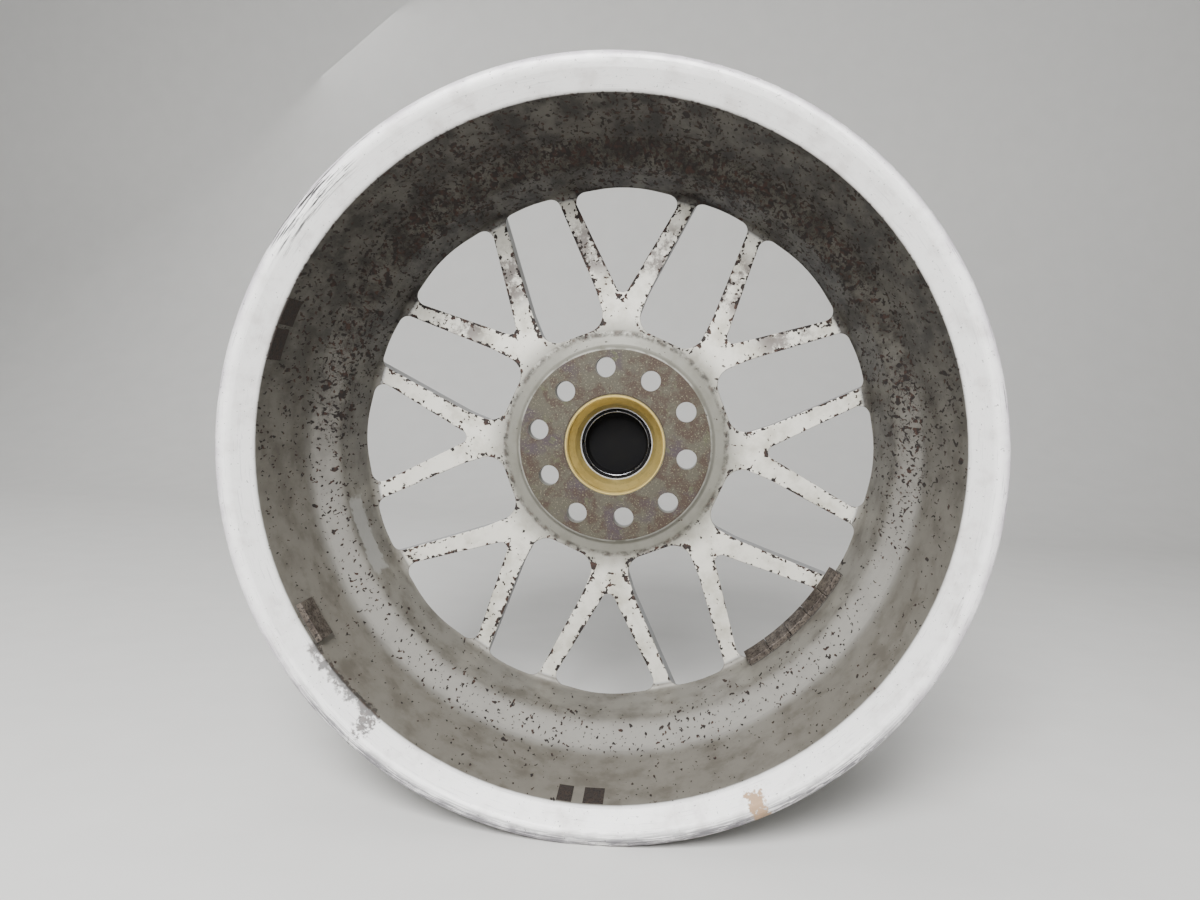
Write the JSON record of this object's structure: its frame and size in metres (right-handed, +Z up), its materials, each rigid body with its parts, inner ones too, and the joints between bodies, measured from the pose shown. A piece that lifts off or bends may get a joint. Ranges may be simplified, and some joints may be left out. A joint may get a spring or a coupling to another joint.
{
  "type": "racing wheel rim",
  "caption": "One-piece forged multi-spoke racing wheel rim seen with its hub centring ring, snap-in centre cap, tyre valve, stick-on balance weights and leftover weight tape.",
  "frame": {"origin": "on the wheel's axis, midway between the rim's two outer edges", "axes": "+Y along the wheel's axis towards the car's outer side, +Z up, +X to the right when looking at the inboard side"},
  "size_m": [0.4966, 0.213, 0.4964],
  "materials": {
    "forged_alloy": "worn silver paint over forged alloy",
    "gold_anodised": "gold anodised",
    "spring_wire": "drawn wire",
    "black_plastic": "moulded",
    "cap_face": "satin, plain",
    "valve_metal": "nickel plated",
    "valve_brass": "turned",
    "seal_rubber": "matt",
    "valve_cap_plastic": "moulded, grooved grip",
    "foam_tape": "foam tape edge",
    "weight_metal": "dirty grey coating",
    "old_tape": "dried adhesive foam"
  },
  "bodies": {
    "wheel": {"wheel": "forged_alloy", "valve_stem": "valve_metal", "valve_grommet": "seal_rubber", "valve_washer": "valve_metal", "valve_nut": "valve_metal", "valve_core_body": "valve_brass", "weight_tape": "foam_tape", "strip_weight_1": "weight_metal", "strip_weight_2": "weight_metal", "strip_weight_3": "weight_metal", "strip_weight_4": "weight_metal", "strip_weight_5": "weight_metal", "block_weight_tape": "foam_tape", "block_weight": "weight_metal", "old_tape_left_upper": "old_tape", "old_tape_left_lower": "old_tape", "old_tape_bottom_left": "old_tape", "old_tape_bottom_right": "old_tape"},
    "hub_ring": {"hub_ring": "gold_anodised", "hub_ring_clip": "spring_wire"},
    "centre_cap": {"cap_body": "black_plastic", "cap_spring_ring": "spring_wire", "cap_disc": "cap_face"},
    "valve_pin": {"valve_core_pin": "valve_brass", "valve_core_seal": "seal_rubber", "valve_core_spring": "spring_wire"},
    "valve_cap_seal": {"valve_cap_seal": "seal_rubber"},
    "valve_cap": {"valve_cap": "valve_cap_plastic"}
  },
  "joints": [
    {"name": "hub_ring_pull", "type": "slide", "parent": "wheel", "child": "hub_ring", "axis": [0, -1, 0], "range_m": [0, 0.03]},
    {"name": "centre_cap_pull", "type": "slide", "parent": "wheel", "child": "centre_cap", "axis": [0, 1, 0], "range_m": [0, 0.03]},
    {"name": "valve_pin_press", "type": "slide", "parent": "wheel", "child": "valve_pin", "axis": [0.4005, -0.8241, -0.4005], "range_m": [0, 0.0016], "stiffness_N_per_m": 400, "springref_m": -0.0005, "deforming": ["valve_core_spring"]},
    {"name": "valve_cap_lift", "type": "slide", "parent": "wheel", "child": "valve_cap_seal", "axis": [-0.4005, 0.8241, 0.4005], "range_m": [0, 0.012]},
    {"name": "valve_cap_turn", "type": "hinge", "parent": "valve_cap_seal", "child": "valve_cap", "pos_m": [0.15479, 0.0616, -0.15479], "axis": [-0.4005, 0.8241, 0.4005], "range_deg": [0, 5442.1]}
  ],
  "couplings": [
    {"joint": "valve_cap_turn", "follows": "valve_cap_lift", "rad_per_m": 7913.3}
  ]
}
